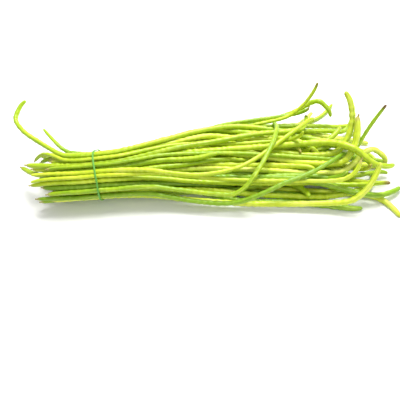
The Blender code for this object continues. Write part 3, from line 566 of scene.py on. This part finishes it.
@dataclass(frozen=True)
class BeanSkin:
    """Fresh yardlong bean skin, grown: thin, waxed and a little see-through.

    The eye gets a lime green that turns paler and yellower with ripeness in long soft patches, fine
    lengthwise streaks, the pale ones a painted highlight of the wax and the dark ones the skin's own, a
    painted highlight on the seeds' swellings, a darker line along each seam, a few freckles, a tan cut
    stalk and, on some pods, a brown dried tip. The ripeness that each pod brings also carries a painted
    light from behind and a painted shade in front. The wax gives it a broad satin light. A layer of colour
    that has three numbers starts at the first and is strongest at the second, where its share is the third.
    """

    green: str = "#83AC16"
    lime: str = "#AFCA14"
    yellow: str = "#CADA2A"
    pale: str = "#DCE462"
    deep: str = "#5A880A"
    # A painted highlight colour, for the pale streaks and the seeds' swellings.
    light: str = "#E4EC84"
    tan: str = "#B9A468"
    brown: str = "#6E4A22"
    freckle: str = "#8E8A34"
    streak_width: float = 1.3 * MM
    streak_length: float = 28 * MM
    patch_length: float = 45 * MM
    freckle_size: float = 1.3 * MM
    pore_size: float = 0.35 * MM
    pore_stretch: float = 2.0
    roughness: tuple[float, float] = (0.34, 0.50)
    optics: tuple[tuple[str, Any], ...] = (
        ("IOR", 1.45), ("Specular IOR Level", 0.45), ("Coat Weight", 0.14), ("Coat Roughness", 0.24),
        ("Subsurface Weight", 0.18), ("Subsurface Radius", (0.6, 1.0, 0.2)),
        ("Subsurface Scale", 1.6 * MM))
    patch_width: float = 9 * MM
    patch_strength: float = 0.9
    green_until: float = 0.05
    lime_at: float = 0.42
    yellow_at: float = 0.74
    # Pale streaks of painted highlight, as of light on the wax.
    painted_highlight_streaks: tuple[float, float, float] = (0.54, 0.74, 0.42)
    deep_streaks: tuple[float, float, float] = (0.46, 0.28, 0.45)
    # A painted highlight on the seeds' swellings.
    painted_seed_highlight: tuple[float, float, float] = (0.1, 0.7, 0.10)
    deep_seam: float = 0.40
    freckle_stretch: float = 1.8
    freckle_edge: tuple[float, float] = (0.66, 0.74)
    tan_stalk: tuple[float, float, float] = (11 * MM, 4 * MM, 0.75)
    cut_stalk: tuple[float, float, float] = (1.6 * MM, 0.2 * MM, 0.8)
    dried_tip: tuple[float, float] = (11 * MM, 1 * MM)
    gloss_patches: tuple[float, float] = (0.3, 0.7)
    streak_relief: float = 0.6
    bump_strength: float = 0.35
    bump_depth: float = 0.12 * MM

    def build(self) -> bpy.types.Material:
        """Builds the material.

        Returns:
            The skin, which reads each pod's own attributes.
        """
        made = bpy.data.materials.new("fresh_bean_skin")
        made.use_nodes = True
        tree = made.node_tree
        shader = tree.nodes["Principled BSDF"]
        for name, value in self.optics:
            shader.inputs[name].default_value = value
        straight = add_node(tree, "ShaderNodeAttribute", {"attribute_name": "straight"}).outputs["Vector"]
        ripe, left, dry, freckled, seam, seed, phase = (
            add_node(tree, "ShaderNodeAttribute", {"attribute_name": name}).outputs["Fac"]
            for name in ("ripeness", "left", "dry_tip", "freckles", "seam", "seed", "phase"))
        along = add_node(tree, "ShaderNodeSeparateXYZ", inputs={0: straight}).outputs[2]
        moved = add_node(tree, "ShaderNodeCombineXYZ", inputs={2: phase}).outputs[0]
        number = sums(tree)

        def noise(across: float, length: float, detail: float) -> bpy.types.NodeSocket:
            """Noise on the straightened pod, of this size across it and along it, its own for each pod."""
            sized = add_node(tree, "ShaderNodeVectorMath", {"operation": "MULTIPLY_ADD"},
                             {0: straight, 1: (1 / across, 1 / across, 1 / length), 2: moved}).outputs[0]
            return add_node(tree, "ShaderNodeTexNoise",
                            inputs={"Vector": sized, "Scale": 1.0, "Detail": detail}).outputs["Fac"]

        def ramp(value: bpy.types.NodeSocket, start: float, end: float,
                 top: float = 1.0) -> bpy.types.NodeSocket:
            """0 up to start, then rising to top at end. A start above its end runs the other way."""
            return add_node(tree, "ShaderNodeMapRange", {"interpolation_type": "SMOOTHSTEP"},
                            {"Value": value, "From Min": start, "From Max": end, "To Max": top}).outputs[0]

        def mixed(share: bpy.types.NodeSocket, below: bpy.types.NodeSocket,
                  above: tuple[float, float, float, float]) -> bpy.types.NodeSocket:
            """A colour with this share of another over it."""
            return add_node(tree, "ShaderNodeMix", {"data_type": "RGBA"},
                            {"Factor": share, 6: below, 7: above}).outputs[2]

        patch = noise(self.patch_width, self.patch_length, detail=2.0)
        tone = number("MULTIPLY_ADD", number("SUBTRACT", patch, 0.5), self.patch_strength, ripe)
        colours = add_node(tree, "ShaderNodeValToRGB", inputs={0: tone})
        stops = colours.color_ramp.elements
        stops[0].position, stops[0].color = self.green_until, to_linear(self.green)
        stops[1].position, stops[1].color = 1.0, to_linear(self.pale)
        for place, code in ((self.lime_at, self.lime), (self.yellow_at, self.yellow)):
            stops.new(place).color = to_linear(code)
        streak = noise(self.streak_width, self.streak_length, detail=3.0)
        raised = number("MULTIPLY", seed, patch)
        # Painted highlight: pale streaks as of light on the wax. The dark streaks below are the skin's own.
        skin = mixed(ramp(streak, *self.painted_highlight_streaks), colours.outputs[0], to_linear(self.light))
        skin = mixed(ramp(streak, *self.deep_streaks), skin, to_linear(self.deep))
        # Painted highlight on the seeds' swellings, stronger in some patches than in others.
        skin = mixed(ramp(raised, *self.painted_seed_highlight), skin, to_linear(self.light))
        skin = mixed(number("MULTIPLY", seam, self.deep_seam), skin, to_linear(self.deep))
        spots = noise(self.freckle_size, self.freckle_size * self.freckle_stretch, detail=1.0)
        spotted = number("MULTIPLY", ramp(spots, *self.freckle_edge), freckled)
        skin = mixed(spotted, skin, to_linear(self.freckle))
        skin = mixed(ramp(along, *self.tan_stalk), skin, to_linear(self.tan))
        skin = mixed(ramp(along, *self.cut_stalk), skin, to_linear(self.brown))
        faded = number("MULTIPLY", ramp(left, *self.dried_tip), dry)
        skin = mixed(faded, skin, to_linear(self.brown))
        tree.links.new(skin, shader.inputs["Base Color"])

        gloss = add_node(tree, "ShaderNodeMapRange", inputs={
            "Value": patch, "From Min": self.gloss_patches[0], "From Max": self.gloss_patches[1],
            "To Min": self.roughness[0], "To Max": self.roughness[1]}).outputs[0]
        tree.links.new(gloss, shader.inputs["Roughness"])
        pores = noise(self.pore_size, self.pore_size * self.pore_stretch, detail=2.0)
        grain = number("MULTIPLY_ADD", streak, self.streak_relief, pores)
        bump = add_node(tree, "ShaderNodeBump", inputs={
            "Strength": self.bump_strength, "Distance": self.bump_depth, "Height": grain})
        tree.links.new(bump.outputs[0], shader.inputs["Normal"])
        return made


@dataclass
class PodBunch:
    """All the pods, each a fine skin grown on the line of its own solid.

    The pods are painted yellower for each metre that they lie further back and greener for each metre
    further forward, by the first of the numbers below: painted light from behind and painted shade at the
    front. A pod is also riper by up to the spread more or less at random. A pod that draws its colours has
    these odds for its ripeness, greenest first, and freckles in the range freckled. The higher
    rare_dry_tips is, the fewer of those pods have a dry tip. Every pod's patterns start at a random place
    from 0 to phases.
    """

    painted_light_gradient: float = 1.6
    ripeness_odds: tuple[float, ...] = (0.10, 0.24, 0.30, 0.24, 0.12)
    ripeness_spread: float = 0.08
    rare_dry_tips: int = 4
    freckled: tuple[float, float] = (0.1, 0.7)
    phases: float = 40.0
    outline: PodOutline = field(default_factory=PodOutline)
    growth: PodSkinTree = field(default_factory=PodSkinTree)

    def build(self, nodes: dict[str, bpy.types.Object]) -> list[bpy.types.Object]:
        """Builds every pod, puts it in its solid's place and reports it.

        Args:
            nodes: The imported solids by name.

        Returns:
            The finished pods.
        """
        rng = np.random.default_rng(RANDOM_SEED)
        skin = BeanSkin().build()
        tree = self.growth.build()
        values = self.growth.values(skin)
        pods = []
        for name in sorted(n for n in nodes if n.startswith(POD_PREFIX)):
            form = PodForm.of_node(nodes[name])
            ripeness = Ripeness(rng.choice([r.value for r in Ripeness], p=self.ripeness_odds))
            dry_tip = float(rng.random() ** self.rare_dry_tips)
            drawn = Growth(ripeness, dry_tip, float(rng.uniform(*self.freckled)))
            phase = float(rng.uniform(0, self.phases))
            pod = self.path(f"{name}_skin", form, STRAY_GROWTH.get(name, drawn), phase, rng)
            apply_tree(pod, tree, values)
            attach(pod, BODY)
            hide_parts(name)
            LOG.info("%s: radius %.1f mm, %d faces", pod.name, form.radius / MM, len(pod.data.polygons))
            pods.append(pod)
        return pods

    def path(self, name: str, form: PodForm, growth: Growth, phase: float,
             rng: np.random.Generator) -> bpy.types.Object:
        """A pod's line as an object, with what the tree and the skin read from it.

        Args:
            name: The object's name.
            form: The pod's line and radius.
            growth: Its ripeness, tip and freckles.
            phase: Where its patterns start.
            rng: The source of its small differences.

        Returns:
            The path, its girth and its skin's attributes on its points.
        """
        length = travelled(form.line)[-1]
        along = self.outline.places(length)
        points = read_line(form.line, along)
        made = new_mesh_object(name, points, [(k, k + 1) for k in range(len(points) - 1)])
        left = length - along
        girth = form.radius * self.outline.share(along, left)
        own = rng.uniform(-self.ripeness_spread, self.ripeness_spread)
        # The last term is painted light and shade: pods further back are painted yellower, those further
        # forward greener.
        ripeness = growth.ripeness.value + own + self.painted_light_gradient * points[:, 1].mean()
        attributes = {"girth": girth, "along": along, "left": left, "phase": phase,
                      "ripeness": ripeness, "dry_tip": growth.dry_tip, "freckles": growth.freckles}
        for key, value in attributes.items():
            set_attribute(made, key, value)
        return made


@dataclass(frozen=True)
class DyedRubber:
    """Natural rubber, dyed green and cut from a tube: matt, with a faint powdery unevenness."""

    green: str = "#58A238"
    dusty: str = "#86BB5C"
    grain: float = 0.8 * MM
    optics: tuple[tuple[str, float], ...] = (
        ("IOR", 1.52), ("Subsurface Weight", 0.08), ("Subsurface Scale", 0.8 * MM))
    dust_edge: tuple[float, float] = (0.45, 0.75)
    dust_cover: float = 0.55
    roughness: tuple[float, float] = (0.42, 0.68)
    bump_strength: float = 0.3
    bump_depth: float = 0.05 * MM

    def build(self) -> bpy.types.Material:
        """Builds the material.

        Returns:
            The rubber.
        """
        made = bpy.data.materials.new("dyed_rubber")
        made.use_nodes = True
        tree = made.node_tree
        shader = tree.nodes["Principled BSDF"]
        for name, value in self.optics:
            shader.inputs[name].default_value = value
        place = add_node(tree, "ShaderNodeTexCoord").outputs["Object"]
        dust = add_node(tree, "ShaderNodeTexNoise", inputs={
            "Vector": place, "Scale": 1 / self.grain, "Detail": 4.0}).outputs["Fac"]
        share = add_node(tree, "ShaderNodeMapRange", inputs={
            "Value": dust, "From Min": self.dust_edge[0], "From Max": self.dust_edge[1],
            "To Max": self.dust_cover}).outputs[0]
        colour = add_node(tree, "ShaderNodeMix", {"data_type": "RGBA"},
                          {"Factor": share, 6: to_linear(self.green), 7: to_linear(self.dusty)}).outputs[2]
        rough = add_node(tree, "ShaderNodeMapRange", inputs={
            "Value": dust, "To Min": self.roughness[0], "To Max": self.roughness[1]}).outputs[0]
        bump = add_node(tree, "ShaderNodeBump", inputs={
            "Strength": self.bump_strength, "Distance": self.bump_depth, "Height": dust}).outputs[0]
        tree.links.new(colour, shader.inputs["Base Color"])
        tree.links.new(rough, shader.inputs["Roughness"])
        tree.links.new(bump, shader.inputs["Normal"])
        return made


@dataclass
class ElasticBand:
    """The band round the pods: a flat rubber loop with rounded edges, on the line of its solid."""

    width: float = 2.4 * MM
    thickness: float = 1.25 * MM
    edge: float = 0.4 * MM
    edge_cuts: int = 3
    cuts: int = 64
    steps: int = 4
    drawn_in: float = 0.6

    def line(self, node: bpy.types.Object) -> np.ndarray:
        """The middle line of the band's solid, by cutting it at even turns round its centre.

        Args:
            node: The band's solid, a loop round the X axis.

        Returns:
            A closed smooth line, one row for each point.
        """
        points, faces = merged_triangles(node)
        centre = points.mean(0)
        start = points[faces].reshape(-1, 3) - centre
        stop = points[np.roll(faces, -1, axis=1)].reshape(-1, 3) - centre
        knots = []
        for turn in np.arange(self.cuts) * 2 * math.pi / self.cuts:
            outward = np.array([0.0, math.cos(turn), math.sin(turn)])
            beside = np.array([0.0, -math.sin(turn), math.cos(turn)])
            here, there = start @ beside, stop @ beside
            meets = here * there < 0
            share = (here[meets] / (here[meets] - there[meets]))[:, None]
            cut = start[meets] * (1 - share) + stop[meets] * share
            cut = cut[cut @ outward > 0]
            reach = cut @ outward
            knots.append(centre + outward * (reach.min() + reach.max()) / 2
                         + np.array([(cut[:, 0].min() + cut[:, 0].max()) / 2, 0, 0]))
        return soft_curve(np.array(knots), self.drawn_in, closed=True, steps=self.steps)

    def build(self, nodes: dict[str, bpy.types.Object]) -> bpy.types.Object:
        """Builds the band, puts it in its solid's place and reports it.

        Args:
            nodes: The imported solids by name.

        Returns:
            The finished band.
        """
        line = self.line(nodes[BAND_NODE])
        count = len(line)
        made = new_mesh_object("elastic_loop", line, [(k, (k + 1) % count) for k in range(count)])
        apply_tree(made, self.tree(), {"Width": self.width, "Thickness": self.thickness, "Edge": self.edge,
                                       "Rubber": DyedRubber().build()})
        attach(made, BODY)
        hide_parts(BAND_NODE)
        LOG.info("%s: %d faces", made.name, len(made.data.polygons))
        return made

    def tree(self) -> bpy.types.NodeTree:
        """Builds the tree that sweeps the band's section round its line.

        Returns:
            A tree that turns a closed path into the band, its flat side to the pods.
        """
        tree = bpy.data.node_groups.new("elastic_sweep", "GeometryNodeTree")
        tree.interface.new_socket("Path", in_out="INPUT", socket_type="NodeSocketGeometry")
        for name in ("Width", "Thickness", "Edge"):
            tree.interface.new_socket(name, in_out="INPUT", socket_type="NodeSocketFloat")
        tree.interface.new_socket("Rubber", in_out="INPUT", socket_type="NodeSocketMaterial")
        tree.interface.new_socket("Band", in_out="OUTPUT", socket_type="NodeSocketGeometry")
        given = add_node(tree, "NodeGroupInput").outputs
        path = add_node(tree, "GeometryNodeMeshToCurve", inputs={"Mesh": given["Path"]}).outputs[0]
        path = add_node(tree, "GeometryNodeSetCurveNormal", {"mode": "FREE"},
                        {"Curve": path, "Normal": (1.0, 0.0, 0.0)}).outputs[0]
        section = add_node(tree, "GeometryNodeCurvePrimitiveQuadrilateral",
                           inputs={"Width": given["Width"], "Height": given["Thickness"]}).outputs[0]
        section = add_node(tree, "GeometryNodeFilletCurve", {"mode": "POLY"},
                           {"Curve": section, "Count": self.edge_cuts,
                            "Radius": given["Edge"]}).outputs[0]
        band = add_node(tree, "GeometryNodeCurveToMesh",
                        inputs={"Curve": path, "Profile Curve": section}).outputs[0]
        band = add_node(tree, "GeometryNodeSetShadeSmooth", inputs={"Geometry": band}).outputs[0]
        band = add_node(tree, "GeometryNodeRealizeInstances", inputs={"Geometry": band}).outputs[0]
        band = add_node(tree, "GeometryNodeSetMaterial",
                        inputs={"Geometry": band, "Material": given["Rubber"]}).outputs[0]
        add_node(tree, "NodeGroupOutput", inputs={"Band": band})
        return tree


@dataclass(frozen=True)
class Studio:
    """The pale floor, the soft lights and the camera, which stands as in the photograph."""

    floor_half: float = 3.0
    floor_colour: str = "#F4F4F1"
    floor_roughness: float = 0.9
    camera_place: tuple[float, float, float] = (0.0698, -0.3789, 0.4248)
    camera_aim: tuple[float, float, float] = (0.0086, -0.0806, 0.0300)
    camera_roll: float = math.radians(-14.23)
    lens_mm: float = 33.12
    sensor_mm: float = 36.0
    sky: float = 0.58
    key_watts: float = 26.0
    key_size: float = 0.6
    key_place: tuple[float, float, float] = (0.30, 0.50, 1.20)
    fill_watts: float = 4.0
    fill_size: float = 1.2
    fill_place: tuple[float, float, float] = (0.6, -0.9, 0.9)

    def build(self) -> None:
        """Builds the floor, the lights and the camera."""
        self.floor()
        self.lamp("key_light", self.key_place, self.key_watts, self.key_size)
        self.lamp("fill_light", self.fill_place, self.fill_watts, self.fill_size)
        self.world()
        self.camera()
        bpy.context.scene.view_settings.view_transform = "Standard"

    def floor(self) -> None:
        """A wide sheet of matt paper under the bunch."""
        half = self.floor_half
        mesh = bpy.data.meshes.new("paper_floor")
        corners = [(-half, -half, 0), (half, -half, 0), (half, half, 0), (-half, half, 0)]
        mesh.from_pydata(corners, [], [(0, 1, 2, 3)])
        made = bpy.data.objects.new("paper_floor", mesh)
        bpy.context.scene.collection.objects.link(made)
        paper = bpy.data.materials.new("matt_paper")
        paper.use_nodes = True
        shader = paper.node_tree.nodes["Principled BSDF"]
        shader.inputs["Base Color"].default_value = to_linear(self.floor_colour)
        shader.inputs["Roughness"].default_value = self.floor_roughness
        mesh.materials.append(paper)

    @staticmethod
    def lamp(name: str, place: tuple[float, float, float], watts: float, size: float) -> None:
        """Adds a square area light that is aimed at the bunch.

        Args:
            name: The light's name.
            place: Where it stands.
            watts: Its power.
            size: The length of its side.
        """
        light = bpy.data.lights.new(name, "AREA")
        light.energy, light.size = watts, size
        made = bpy.data.objects.new(name, light)
        made.location = place
        made.rotation_euler = (-Vector(place)).to_track_quat("-Z", "Y").to_euler()
        bpy.context.scene.collection.objects.link(made)

    def world(self) -> None:
        """Even white light from all round."""
        world = bpy.data.worlds.new("white_room")
        world.use_nodes = True
        world.node_tree.nodes["Background"].inputs["Color"].default_value = (1.0, 1.0, 1.0, 1.0)
        world.node_tree.nodes["Background"].inputs["Strength"].default_value = self.sky
        bpy.context.scene.world = world

    def camera(self) -> None:
        """The camera above the near side, rolled a little, as the photograph was taken."""
        camera = bpy.data.cameras.new("photo_camera")
        camera.lens, camera.sensor_width = self.lens_mm, self.sensor_mm
        made = bpy.data.objects.new("photo_camera", camera)
        made.location = self.camera_place
        ahead = Vector(self.camera_aim) - Vector(self.camera_place)
        turn = ahead.to_track_quat("-Z", "Y") @ Quaternion((0, 0, 1), self.camera_roll)
        made.rotation_euler = turn.to_euler()
        bpy.context.scene.collection.objects.link(made)
        bpy.context.scene.camera = made


def main() -> None:
    """Builds the bunch and the studio round the frame, and logs the number of pods."""
    logging.basicConfig(level=logging.INFO, format="%(name)s: %(message)s")
    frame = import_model()
    pods = PodBunch().build(frame["nodes"])
    ElasticBand().build(frame["nodes"])
    Studio().build()
    LOG.info("%d pods and a band", len(pods))


if __name__ == "__main__":
    main()
